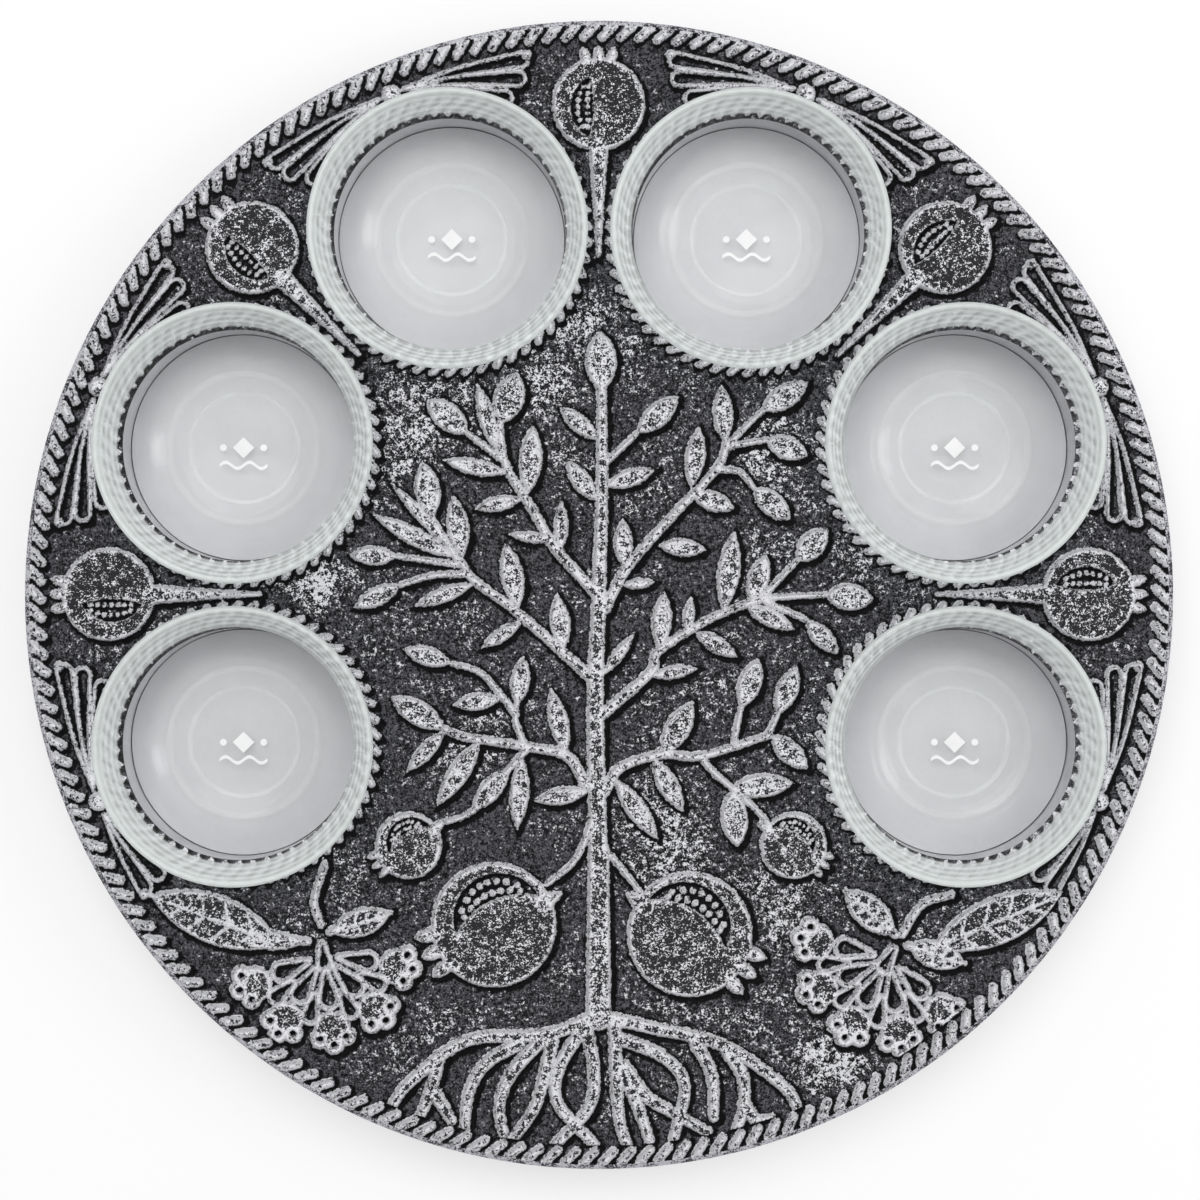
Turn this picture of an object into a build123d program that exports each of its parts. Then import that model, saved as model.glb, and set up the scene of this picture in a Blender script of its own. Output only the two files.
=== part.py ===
from build123d import *
import os
from math import cos, degrees, radians, sin, tan

# A round seder plate: a board wrapped in an embossed metal sheet, closed underneath by a thin
# panel on rubber feet, with six wells that each hold a loose glass bowl.
# Millimetres. The plate lies flat, +Z is up, +Y is the top of the tree picture, and the origin
# is on the table under the middle of the plate.

# Plate
plate_radius = 180.0
shoulder_radius = 2.5
sheet_thickness = 0.6
hem_width = 8.0
board_thickness = 14.0
panel_thickness = 3.0
panel_clearance = 0.5
glue_line = 0.1

# Rubber feet
foot_radius = 6.0
foot_height = 3.0
foot_edge_round = 1.2
foot_count = 6
foot_edge_margin = 30.0

# Wells, at six of eight even places round the plate, with the two at the bottom left out
well_places = 8
well_edge_margin = 21.5
well_angles = {
    "top_left": 112.5,
    "top_right": 67.5,
    "upper_right": 22.5,
    "lower_right": -22.5,
    "lower_left": 202.5,
    "upper_left": 157.5,
}
liner_thickness = 0.8
liner_clearance = 0.4

# Glass bowls, as wide as their places allow, with rims that reach out over the wells
bowl_gap = 6.8
bowl_rim_overhang = 6.8
bowl_height = 30.0
bowl_wall = 2.4
bowl_floor_thickness = 3.2
bowl_floor_radius = 20.0
bowl_foot_radius = 18.0
bowl_foot_width = 3.0
bowl_foot_recess = 0.8
bowl_belly_bulge = 3.6
bowl_well_clearance = 1.4

# Embossed relief, raised from the sheet
relief_height = 1.4

# Rope borders: one along the plate's edge, one round each well. The strands of each one spring
# from a narrow band and lean to one side
edge_rope_width = 5.4
edge_rope_band = 1.4
edge_rope_strands = 190
well_rope_gap = 0.9
well_rope_width = 7.4
well_rope_band = 2.0
well_rope_groove = 0.3
well_rope_strands = 54
strand_share = 0.66
strand_lean = 45.0

# The picture's points and leaf widths are in 180ths of the plate's radius. The picture sits a
# little below the middle of the plate
picture_unit = plate_radius / 180
picture_drop = 1.6

# Tree stems: their widths, and the points that each one passes through
trunk_width = 4.2
foot_of_trunk_width = 7.4
branch_width = 3.2
root_width = 3.8
trunk = [(1, 65), (1, 33), (0, -2), (-1, -32), (0, -82)]
foot_of_trunk = [(0, -78), (0, -104), (0, -131)]
branches = [
    [(0, 1), (-13.5, 16), (-20, 27), (-29, 42), (-31, 55)],
    [(2, -3), (9, 10), (23, 26), (37, 41), (40, 49)],
    [(-3, -24), (-14, -14), (-28, -2), (-39, 6), (-43, 12)],
    [(0, -37), (16, -23), (19, -16), (36, -5.5), (52, 0.5)],
    [(-4, -58), (-10, -49), (-23, -46), (-42, -43), (-48, -40.5)],
    [(2, -60), (7, -52.5), (20, -48.5), (32, -49), (53.5, -42.5)],
    [(-23, -46), (-26, -38), (-25.5, -32)],
    [(-26, -36), (-30.5, -30), (-37, -23), (-46, -20)],
    [(-22, -46.5), (-28, -53), (-39, -66), (-51, -70.5)],
    [(32, -49.5), (37, -55), (48, -64.5), (54, -71)],
    [(-1, -66), (-7, -81), (-16, -89)],
    [(1, -77), (7, -84), (13, -91.5)],
    [(2.5, 43), (12, 52)],
    [(-30.5, 44), (-41, 52)],
    [(40.5, 48.5), (51, 59)],
    [(41, 48), (52.5, 50)],
    [(36.5, 40.5), (44, 40), (48.5, 35)],
    [(-44, 12), (-52, 25.5)],
    [(-44.5, 11), (-63, 13.5)],
    [(-41, 8), (-52, 7.5), (-62, 4.5)],
    [(51, 0.5), (62, 12)],
    [(51, 0.5), (71, 1.5)],
    [(51, 0), (65, -6.5)],
    [(42.5, -43.5), (44.5, -34)],
    [(53, -42.5), (56, -36)],
]
roots = [
    [(0, -130), (-16, -136), (-41, -138), (-59, -151), (-65, -159)],
    [(-50, -143), (-52, -152), (-56.5, -163.5)],
    [(-51, -155), (-46, -163)],
    [(-25, -139), (-35, -145), (-40.5, -154), (-42, -166)],
    [(-18, -138), (-27, -148), (-31, -158), (-29.5, -169)],
    [(-14.5, -138), (-17, -149), (-20, -159), (-26, -168)],
    [(-5, -134), (-12.5, -147), (-12.5, -158), (-1, -171)],
    [(-4, -134), (-1.5, -147), (-3, -159), (-14, -171)],
    [(5, -132), (5.5, -149), (6.5, -163), (9, -171)],
    [(7, -147), (12, -158), (16, -169.5)],
    [(8, -146), (15, -155.5), (24, -161), (34, -166.5)],
    [(7, -137.5), (20, -143), (27, -152), (23.5, -169)],
    [(30, -138), (35.5, -149), (36, -162)],
    [(40, -141), (45, -149), (45.5, -158), (43, -166.5)],
    [(45.5, -158), (49.5, -163), (54, -162.5)],
    [(0, -130), (16.5, -134), (39, -139.5), (58, -152.5), (63, -161)],
]

# Tree leaves: stalk end, tip, greatest width
leaves = [
    ((1, 65), (0.5, 84), 10), ((0, 50), (-12, 60), 5.6), ((-1, 31), (-10, 43.5), 6),
    ((12, 52), (25, 63.5), 7.5), ((2, 35.5), (17.5, 40.5), 5.8), ((1, -24), (11, -11), 3.8),
    ((-3, -60), (-20, -63), 5.6),
    ((-30.5, 55), (-25.5, 71), 9.7), ((-32, 46.5), (-38, 67.5), 5.3), ((-41, 52), (-53.5, 62.5), 8.5),
    ((-28.5, 39.5), (-48.5, 43.5), 5.3), ((-22, 33), (-20.5, 54.5), 7.3), ((-24, 31.5), (-38.5, 28.5), 5),
    ((-14.5, 18.5), (-28, 20.5), 3.6), ((-12, 14.5), (-11.5, 31), 4.5),
    ((8, 10), (7.5, 25), 6), ((19, 17), (33.5, 15.5), 5.8), ((29, 33), (42.5, 28.5), 6.4),
    ((29, 35), (31.5, 54), 6.4), ((48.5, 35), (60, 25), 7.5), ((39.5, 49), (38.5, 67), 6.4),
    ((51, 59), (65.5, 68), 7.5), ((52.5, 50), (65.5, 45), 7.5), ((7.5, 4.5), (17.5, 5.5), 3.6),
    ((-42.5, 13), (-45.5, 32.5), 7), ((-52, 25.5), (-55, 43), 8.1), ((-45, 15), (-65, 36.5), 3.8),
    ((-45, 13), (-70.5, 26.5), 5.7), ((-63, 13.5), (-78, 14), 6.2), ((-62, 4.5), (-76.5, -2.5), 6.2),
    ((-39, 5), (-57.5, -2), 5), ((-25, -3), (-29, 17.5), 7.3), ((-24, -7), (-36.5, -15), 4.5),
    ((-11, -16), (-13, 1.5), 6.4),
    ((19, -16), (20.5, 2.5), 6.3), ((27.5, -10.5), (29, 0.5), 3.8), ((16, -24), (31, -21.5), 4.4),
    ((30, -10), (43.5, -18), 5.3), ((46, -2), (61.5, -9.5), 5.6), ((65, -6.5), (75, -17), 6.2),
    ((71, 1.5), (86, 0), 8.5), ((62, 12), (71.5, 22), 8.1), ((47.5, -1), (52.5, 14), 6.9),
    ((39, -4), (42.5, 21.5), 7.2),
    ((-25.5, -33), (-23.5, -18), 6.2), ((-46, -20), (-61, -15.5), 6.2), ((-30.5, -31), (-45.5, -33), 5.6),
    ((-48, -40.5), (-65, -30.5), 7.8), ((-48, -41), (-60, -54), 5), ((-37, -44), (-50.5, -64.5), 6.7),
    ((-28, -53), (-39.5, -66), 6.7), ((-24, -49), (-25.5, -72), 6.2), ((-10, -48.5), (-15, -28), 6.2),
    ((20, -48.5), (29.5, -32), 8.1), ((17, -49.5), (26.5, -66.5), 6.4), ((5, -56), (18.5, -75), 6.4),
    ((44.5, -34), (50, -18.5), 7.5), ((56, -36), (62, -21), 7), ((54, -42.5), (65.5, -53), 7),
    ((41, -59), (61, -57.5), 7.5), ((41.5, -59.5), (43.5, -77.5), 8.5),
]

# Pomegranates: centre, radius, direction of the crown, side of the seed window
tree_fruits = [
    ((-32.8, -101.8), 19.6, 205, -1), ((28.5, -104.8), 19.6, -33, 1),
    ((-59.5, -77), 10.5, 212, -1), ((61, -77), 10.5, -32, 1),
]
edge_fruit_angles = [90, 135, 45, 180, 0]
edge_fruit_radius = 14.6
edge_fruit_crown_gap = 6.3
edge_fruit_stem_length = 30.2
edge_fruit_stem_width = 6.3
edge_fruit_stem_taper = 4.2

# Shape of every pomegranate, with its crown along +X and in shares of its radius: the crown's
# outline, then an end of the seed window, its outer side, its other end and its inner side
crown_reach = 1.22
crown = [(0.8, -0.4), (1.15, -0.42), (1.0, -0.18), (crown_reach, 0), (1.0, 0.18), (1.15, 0.42), (0.8, 0.4)]
tree_fruit_window = [(0.62, 0.1), (-0.12, 0.78), (-0.86, 0.1), (-0.12, 0.36)]
edge_fruit_window = [(0.58, 0.2), (-0.05, 0.6), (-0.72, 0.2), (-0.05, 0.1)]
seed_spots = [-0.36, -0.12, 0.12]
seed_share = 0.08

# Lilies along the edge: a bead outside each well and a fan-shaped petal to either side of it
bead_radius = 3.2
bead_overlap = 0.6
petal_gap = 0.6
petal_depth = 14.5
petal_outer_span = 14.5
petal_inner_span = 12.0
petal_start_angle = 1.6
petal_hollow_count = 3
petal_hollow_width = 2.8
petal_hollow_start_span = 5.0
petal_line = 1.3

# Flower sprays at the lower left and right: centre and direction of the bloom, points of the
# stalk, then the leaf and two sepals like the tree's leaves
flowers = [
    ((-86.2, -111.2), -83, [(-86.9, -101.8), (-89, -94.5), (-85.8, -83.1)],
     [((-99, -108), (-140.5, -92.4), 15.5), ((-84, -104), (-65, -98.1), 9), ((-91, -107), (-112.9, -106.4), 6)]),
    ((90.7, -112.2), -119, [(95, -105), (101.1, -95.6), (110.4, -92.4)],
     [((104, -109), (145.2, -92), 15), ((92.8, -104.9), (77.2, -91), 10), ((96.9, -108.4), (114.6, -113.9), 9)]),
]
flower_lobe_circle_radius = 23.5
flower_lobe_radius = 5.8
flower_lobe_count = 5
flower_lobe_step = 37.0
flower_lobe_bump_circle_radius = 4.8
flower_lobe_bump_radius = 3.2
flower_lobe_bump_count = 3
flower_lobe_bump_step = 58.0
flower_loop_circle_radius = 12.0
flower_loop_length = 10.0
flower_loop_width = 5.4
flower_loop_line = 1.8
flower_loop_count = 5
flower_loop_step = 37.0
flower_stalk_width = 2.6

# Levels and radii that follow from the sizes above
panel_bottom = foot_height
board_bottom = panel_bottom + panel_thickness
board_top = board_bottom + board_thickness
sheet_top = board_top + sheet_thickness
board_radius = plate_radius - sheet_thickness - glue_line
face_radius = plate_radius - shoulder_radius
foot_circle_radius = plate_radius - foot_edge_margin

# The bowls' rims nearly touch their neighbours, and the wells keep their margin to the plate's edge
place_share = sin(radians(180 / well_places))
well_circle_radius = (plate_radius - well_edge_margin + bowl_gap / 2 + bowl_rim_overhang) / (1 + place_share)
bowl_rim_radius = well_circle_radius * place_share - bowl_gap / 2
well_radius = bowl_rim_radius - bowl_rim_overhang
board_hole_radius = well_radius + sheet_thickness + glue_line
bowl_seat = board_bottom + liner_thickness
bowl_waist_radius = well_radius - bowl_well_clearance
bowl_waist_height = sheet_top - bowl_seat

# Relief along the edge and round the wells
edge_rope_inner_radius = face_radius - edge_rope_width
edge_fruit_circle_radius = face_radius - edge_fruit_crown_gap - crown_reach * edge_fruit_radius
bead_circle_radius = edge_rope_inner_radius + bead_overlap - bead_radius
petal_outer_radius = edge_rope_inner_radius - petal_gap
petal_inner_radius = petal_outer_radius - petal_depth


def polar_point(radius, angle):
    return (radius * cos(radians(angle)), radius * sin(radians(angle)))


well_centres = {name: polar_point(well_circle_radius, a) for name, a in well_angles.items()}


def on_plate(point):
    """A point of the picture, in millimetres."""
    return (point[0] * picture_unit, point[1] * picture_unit - picture_drop)


def stem_face(points, width):
    """A stem of even width with a round end, through the given points of the picture."""
    points = [on_plate(point) for point in points]
    with BuildSketch() as stem:
        with BuildLine() as path:
            Spline(*points)
        trace(path.line, width)
        with Locations(points[0], points[-1]):
            Circle(width / 2)
    return stem.sketch.faces()


def leaf_face(stalk_end, tip, width):
    """A pointed leaf of the picture."""
    return lens_face(on_plate(stalk_end), on_plate(tip), width * picture_unit)


def lens_face(stalk_end, tip, width):
    """A pointed oval, drawn as two arcs from end to end."""
    along = Vector(*tip) - Vector(*stalk_end)
    across = along.rotate(Axis.Z, 90).normalized() * (width / 2)
    middle = Vector(*stalk_end) + along * 0.5
    with BuildSketch() as leaf:
        with BuildLine():
            ThreePointArc(stalk_end, middle + across, tip)
            ThreePointArc(tip, middle - across, stalk_end)
        make_face()
    return leaf.sketch.faces()


def pomegranate_faces(centre, radius, crown_angle, window_side, window):
    """A round fruit with a three-pointed crown and an open window that shows its seeds."""

    def on_fruit(point):
        return (point[0] * radius, point[1] * radius * window_side)

    window_start, window_outer, window_end, window_inner = [on_fruit(point) for point in window]
    seed_line = (window[1][1] + window[3][1]) / 2
    with BuildSketch(Plane(centre, x_dir=polar_point(1, crown_angle))) as fruit:
        Circle(radius)
        with BuildLine():
            Polyline(*[on_fruit(point) for point in crown], close=True)
        make_face()
        with BuildLine():
            ThreePointArc(window_start, window_outer, window_end)
            ThreePointArc(window_end, window_inner, window_start)
        make_face(mode=Mode.SUBTRACT)
        with Locations(*[on_fruit((spot, seed_line)) for spot in seed_spots]):
            Circle(radius * seed_share)
    return fruit.sketch.faces()


def edge_fruit_faces(angle):
    """A pomegranate with its crown to the plate's edge, on a stem that tapers inwards."""
    stem_outer_radius = edge_fruit_circle_radius - edge_fruit_radius
    with BuildSketch(Plane((0, 0, 0), x_dir=polar_point(1, angle))) as stem:
        with BuildLine():
            Polyline(
                (stem_outer_radius - edge_fruit_stem_length, 0),
                (stem_outer_radius - edge_fruit_stem_taper, edge_fruit_stem_width / 2),
                (stem_outer_radius + edge_fruit_stem_width / 2, 0),
                (stem_outer_radius - edge_fruit_stem_taper, -edge_fruit_stem_width / 2),
                close=True,
            )
        make_face()
    centre = polar_point(edge_fruit_circle_radius, angle)
    return stem.sketch.faces() + pomegranate_faces(centre, edge_fruit_radius, angle, 1, edge_fruit_window)


def rope_outline(band_radius, end_radius, strands):
    """Points round the open side of a rope, where its strands lean from the band to their ends."""
    pitch = 360 / strands
    half = pitch * strand_share / 2
    lean = degrees((end_radius - band_radius) * tan(radians(strand_lean)) / band_radius)
    points = []
    for number in range(strands):
        middle = number * pitch
        points.append(polar_point(band_radius, middle - half))
        points.append(polar_point(end_radius, middle - half - lean))
        points.append(polar_point(end_radius, middle + half - lean))
        points.append(polar_point(band_radius, middle + half))
    return points


def edge_rope_faces():
    """The plate's rope, with its band outside and its strands to the inside."""
    band_radius = face_radius - edge_rope_band
    with BuildSketch() as rope:
        Circle(face_radius)
        with BuildLine():
            Polyline(*rope_outline(band_radius, edge_rope_inner_radius, edge_rope_strands), close=True)
        make_face(mode=Mode.SUBTRACT)
    return rope.sketch.faces()


def well_rope_faces(centre):
    """The rope round one well, with its band inside and its strands to the outside."""
    inner_radius = well_radius + well_rope_gap
    band_radius = inner_radius + well_rope_band
    with BuildSketch(Plane(centre)) as rope:
        with BuildLine():
            Polyline(*rope_outline(band_radius, inner_radius + well_rope_width, well_rope_strands), close=True)
        make_face()
        Circle(inner_radius, mode=Mode.SUBTRACT)
    return rope.sketch.faces()


def lily_faces(well_angle):
    """A bead beside a well and the two petals that leave it along the edge."""
    with BuildSketch() as lily:
        with Locations(polar_point(bead_circle_radius, well_angle)):
            Circle(bead_radius)
        for way in (-1, 1):
            petal_start = polar_point(bead_circle_radius, well_angle + way * petal_start_angle)
            outer_middle = polar_point(petal_outer_radius, well_angle + way * petal_outer_span / 2)
            outer_end = polar_point(petal_outer_radius, well_angle + way * petal_outer_span)
            inner_end = polar_point(petal_inner_radius, well_angle + way * petal_inner_span)
            inner_middle_radius = (2 * bead_circle_radius + petal_inner_radius) / 3
            inner_middle = polar_point(inner_middle_radius, well_angle + way * petal_inner_span / 2)
            with BuildLine():
                ThreePointArc(petal_start, outer_middle, outer_end)
                Line(outer_end, inner_end)
                ThreePointArc(inner_end, inner_middle, petal_start)
            make_face()
            for number in range(petal_hollow_count):
                share = (number + 0.5) / petal_hollow_count
                tip_radius = petal_outer_radius - petal_depth * share
                tip_span = petal_outer_span - (petal_outer_span - petal_inner_span) * share
                start_share = petal_hollow_start_span / petal_outer_span
                start_radius = bead_circle_radius + (tip_radius - bead_circle_radius) * start_share
                hollow_start = polar_point(start_radius, well_angle + way * tip_span * start_share)
                hollow_tip = polar_point(tip_radius, well_angle + way * (tip_span - degrees(petal_line / tip_radius)))
                add(lens_face(hollow_start, hollow_tip, petal_hollow_width), mode=Mode.SUBTRACT)
    return lily.sketch.faces()


def fan(radius, count, step):
    """Even places on an arc, spread to both sides of the bloom's direction."""
    span = step * (count - 1)
    return PolarLocations(radius, count, -span / 2, span, endpoint=True)


def flower_faces(centre, bloom_angle, stalk, blades):
    """A flower spray: a fan of knobbly lobes, a fan of looped petals inside it, a stalk and leaves."""
    loop_hole_length = flower_loop_length - 2 * flower_loop_line
    loop_hole_width = flower_loop_width - 2 * flower_loop_line
    with BuildSketch(Plane(on_plate(centre), x_dir=polar_point(1, bloom_angle))) as bloom:
        with fan(flower_lobe_circle_radius, flower_lobe_count, flower_lobe_step):
            Circle(flower_lobe_radius)
            with fan(flower_lobe_bump_circle_radius, flower_lobe_bump_count, flower_lobe_bump_step):
                Circle(flower_lobe_bump_radius)
        with fan(flower_loop_circle_radius, flower_loop_count, flower_loop_step):
            SlotOverall(flower_loop_length, flower_loop_width)
            SlotOverall(loop_hole_length, loop_hole_width, mode=Mode.SUBTRACT)
    faces = bloom.sketch.faces() + stem_face(stalk, flower_stalk_width)
    for blade in blades:
        faces += leaf_face(*blade)
    return faces


# The whole embossed picture, as one flat drawing
relief_faces = stem_face(trunk, trunk_width) + stem_face(foot_of_trunk, foot_of_trunk_width)
for points in branches:
    relief_faces += stem_face(points, branch_width)
for points in roots:
    relief_faces += stem_face(points, root_width)
for stalk_end, tip, width in leaves:
    relief_faces += leaf_face(stalk_end, tip, width)
for centre, radius, crown_angle, window_side in tree_fruits:
    radius_on_plate = radius * picture_unit
    relief_faces += pomegranate_faces(
        on_plate(centre), radius_on_plate, crown_angle, window_side, tree_fruit_window
    )
for angle in edge_fruit_angles:
    relief_faces += edge_fruit_faces(angle)
for angle in well_angles.values():
    relief_faces += lily_faces(angle)
for flower in flowers:
    relief_faces += flower_faces(*flower)
relief_faces += edge_rope_faces()

# The ropes round the wells lie over the picture, each in a clear ring of its own
well_ropes = []
for centre in well_centres.values():
    well_ropes += well_rope_faces(centre)
well_ring_radius = well_radius + well_rope_gap + well_rope_width + well_rope_groove

os.makedirs("parts", exist_ok=True)

# Embossed sheet: a thin skin over the board, turned down over the edge and hemmed underneath,
# with a collar down into each well
with BuildPart() as embossed_sheet:
    with BuildSketch(Plane.XZ):
        with BuildLine():
            inner_shoulder = shoulder_radius - sheet_thickness
            Line((0, board_top), (0, sheet_top))
            Line((0, sheet_top), (face_radius, sheet_top))
            RadiusArc((face_radius, sheet_top), (plate_radius, sheet_top - shoulder_radius), shoulder_radius)
            Polyline(
                (plate_radius, sheet_top - shoulder_radius),
                (plate_radius, board_bottom - sheet_thickness),
                (plate_radius - hem_width, board_bottom - sheet_thickness),
                (plate_radius - hem_width, board_bottom),
                (plate_radius - sheet_thickness, board_bottom),
                (plate_radius - sheet_thickness, sheet_top - shoulder_radius),
            )
            RadiusArc(
                (plate_radius - sheet_thickness, sheet_top - shoulder_radius),
                (face_radius, board_top),
                -inner_shoulder,
            )
            Line((face_radius, board_top), (0, board_top))
        make_face()
    revolve(axis=Axis.Z)
    with BuildSketch(Plane.XY.offset(board_top)):
        add(relief_faces)
        with Locations(*well_centres.values()):
            Circle(well_ring_radius, mode=Mode.SUBTRACT)
        add(well_ropes)
    extrude(amount=sheet_thickness + relief_height)
    with BuildSketch(Plane.XY.offset(board_bottom)):
        with Locations(*well_centres.values()):
            Circle(well_radius + sheet_thickness)
    extrude(amount=sheet_top - board_bottom)
    with BuildSketch(Plane.XY.offset(board_bottom)):
        with Locations(*well_centres.values()):
            Circle(well_radius)
    extrude(amount=sheet_top + relief_height - board_bottom, mode=Mode.SUBTRACT)
embossed_sheet.part.label = "embossed_sheet"
export_step(embossed_sheet.part, "parts/embossed_sheet.step")

# Board: a thick disc with six holes right through it
with BuildPart() as base_board:
    with BuildSketch(Plane.XY.offset(board_bottom)):
        Circle(board_radius)
        with Locations(*well_centres.values()):
            Circle(board_hole_radius, mode=Mode.SUBTRACT)
    extrude(amount=board_thickness)
    top_rim = base_board.faces().sort_by(Axis.Z)[-1].outer_wire().edges()
    fillet(top_rim, shoulder_radius - sheet_thickness)
base_board.part.label = "base_board"
export_step(base_board.part, "parts/base_board.step")

# Back panel: a thin disc inside the hem that closes the wells from below
with BuildPart() as back_panel:
    with BuildSketch(Plane.XY.offset(panel_bottom)):
        Circle(plate_radius - hem_width - panel_clearance)
    extrude(amount=panel_thickness)
back_panel.part.label = "back_panel"
export_step(back_panel.part, "parts/back_panel.step")

# Rubber feet under the back panel
for number in range(1, foot_count + 1):
    foot_centre = polar_point(foot_circle_radius, 360 / foot_count * (number - 1))
    with BuildPart() as foot:
        with BuildSketch(Plane(foot_centre)):
            Circle(foot_radius)
        extrude(amount=foot_height)
        fillet(foot.edges().sort_by(Axis.Z)[0], foot_edge_round)
    foot.part.label = f"foot_{number}"
    export_step(foot.part, f"parts/foot_{number}.step")

# One smooth liner on the floor of each well, and the glass bowl that stands on it
for name, (x, y) in well_centres.items():
    with BuildPart() as liner:
        with BuildSketch(Plane((x, y, board_bottom))):
            Circle(well_radius - liner_clearance)
        extrude(amount=liner_thickness)
    liner.part.label = f"well_liner_{name}"
    export_step(liner.part, f"parts/well_liner_{name}.step")

    with BuildPart() as bowl:
        with BuildSketch(Plane((x, y, bowl_seat), x_dir=(1, 0, 0), z_dir=(0, -1, 0))):
            with BuildLine():
                foot_inner_radius = bowl_foot_radius - bowl_foot_width
                lip_height = bowl_height - bowl_wall / 2
                Polyline(
                    (0, bowl_floor_thickness),
                    (0, bowl_foot_recess),
                    (foot_inner_radius - bowl_foot_recess, bowl_foot_recess),
                    (foot_inner_radius, 0),
                    (bowl_foot_radius, 0),
                )
                SagittaArc((bowl_foot_radius, 0), (bowl_waist_radius, bowl_waist_height), -bowl_belly_bulge)
                Line((bowl_waist_radius, bowl_waist_height), (bowl_rim_radius, lip_height))
                ThreePointArc(
                    (bowl_rim_radius, lip_height),
                    (bowl_rim_radius - bowl_wall / 2, bowl_height),
                    (bowl_rim_radius - bowl_wall, lip_height),
                )
                Line(
                    (bowl_rim_radius - bowl_wall, lip_height),
                    (bowl_waist_radius - bowl_wall, bowl_waist_height),
                )
                SagittaArc(
                    (bowl_waist_radius - bowl_wall, bowl_waist_height),
                    (bowl_floor_radius, bowl_floor_thickness),
                    bowl_belly_bulge / 2,
                )
                Line((bowl_floor_radius, bowl_floor_thickness), (0, bowl_floor_thickness))
            make_face()
        revolve(axis=Axis((x, y, 0), (0, 0, 1)))
    bowl.part.label = f"bowl_{name}"
    export_step(bowl.part, f"parts/bowl_{name}.step")
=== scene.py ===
# %% [markdown]
# # A seder plate, finished in Blender
# The plate is a board wrapped in thin embossed metal, blackened and then rubbed bright where the picture
# stands proud, with clear glass bowls standing loose in round wells. The solid pieces come from the packed
# model, which we call the frame. This lesson gives them their look and never moves or resizes them.

# %% Load the frame
from math import cos, pi, radians, sin

import bpy
import numpy as np
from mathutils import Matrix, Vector


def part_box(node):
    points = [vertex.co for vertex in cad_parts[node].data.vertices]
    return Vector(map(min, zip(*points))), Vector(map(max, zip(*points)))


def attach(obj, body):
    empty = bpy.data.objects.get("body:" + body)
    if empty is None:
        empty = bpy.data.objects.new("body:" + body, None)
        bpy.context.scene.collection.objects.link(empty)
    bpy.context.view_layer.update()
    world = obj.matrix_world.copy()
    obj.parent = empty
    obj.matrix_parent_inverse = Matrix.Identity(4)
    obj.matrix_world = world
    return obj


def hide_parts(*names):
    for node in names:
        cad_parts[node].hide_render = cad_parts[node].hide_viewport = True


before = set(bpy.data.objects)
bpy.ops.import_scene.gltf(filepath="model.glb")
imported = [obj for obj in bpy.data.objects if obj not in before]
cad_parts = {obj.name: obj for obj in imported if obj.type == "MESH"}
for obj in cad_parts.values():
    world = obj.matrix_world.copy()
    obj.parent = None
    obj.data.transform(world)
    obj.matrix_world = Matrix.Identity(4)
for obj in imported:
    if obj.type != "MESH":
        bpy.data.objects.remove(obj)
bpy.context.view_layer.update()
mm = 0.001

# %% [markdown]
# ## Sizes that everything else follows
# We could type the levels in again, but the frame already knows them: the top of the board, the outline of
# the sheet and the middle of each well are read from the boxes of its nodes. From here on the picture is
# drawn in millimetres, because a maker thinks in them, and becomes metres only when a mesh is made.

# %% Read the levels and the wells
sheet_thickness = 0.6
liner_clearance = 0.4
plate_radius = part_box("embossed_sheet")[1].x / mm
board_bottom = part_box("base_board")[0].z / mm
sheet_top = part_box("base_board")[1].z / mm + sheet_thickness
well_names = ["top_left", "top_right", "upper_right", "lower_right", "lower_left", "upper_left"]
well_centres = {}
for name in well_names:
    low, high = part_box(f"well_liner_{name}")
    well_centres[name] = ((low.x + high.x) / 2 / mm, (low.y + high.y) / 2 / mm)
well_radius = (high.x - low.x) / 2 / mm + liner_clearance
print("plate", plate_radius, "sheet top", sheet_top, "well", well_radius)

# %% [markdown]
# ## Camera, floor and light
# The photograph looks straight down on the plate, from near enough that the tall bowl rims lean outwards a
# little. So the camera hangs over the middle, and its lens is chosen so that the picture is as wide as it
# is in the photograph at the height of the plate's face.

# %% Hang the camera
view_distance = 0.815
picture_width = 0.3756
sensor_width = 36
plate_left_of_middle, plate_above_middle = 0.0003, 0.0016

scene = bpy.context.scene


def placed(name, data):
    """Puts a camera, a lamp or a mesh into the scene."""
    thing = bpy.data.objects.new(name, data)
    scene.collection.objects.link(thing)
    return thing


scene.view_settings.view_transform = "Standard"
camera_data = bpy.data.cameras.new("overhead_camera")
camera_data.sensor_width = sensor_width
camera_data.lens = sensor_width * view_distance / picture_width
camera = placed("overhead_camera", camera_data)
camera.location = (plate_left_of_middle, -plate_above_middle, sheet_top * mm + view_distance)
scene.camera = camera
print("lens", round(camera_data.lens, 1))

# %% [markdown]
# A large soft box hangs high beyond the plate's far edge. It gives the relief its shadows and the bowls
# their highlights. A weaker one low at the right fills in, and an even white sky does the rest. Together
# they give about the light at which a colour renders as it is written.

# %% Set the lights
sky_strength = 0.66


def soft_box(name, place, width, watts):
    """A round lamp that faces the middle of the plate."""
    lamp = bpy.data.lights.new(name, "AREA")
    lamp.shape = "DISK"
    lamp.size = width
    lamp.energy = watts
    box = placed(name, lamp)
    box.location = place
    box.rotation_euler = (-Vector(place)).to_track_quat("-Z", "Y").to_euler()


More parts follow.
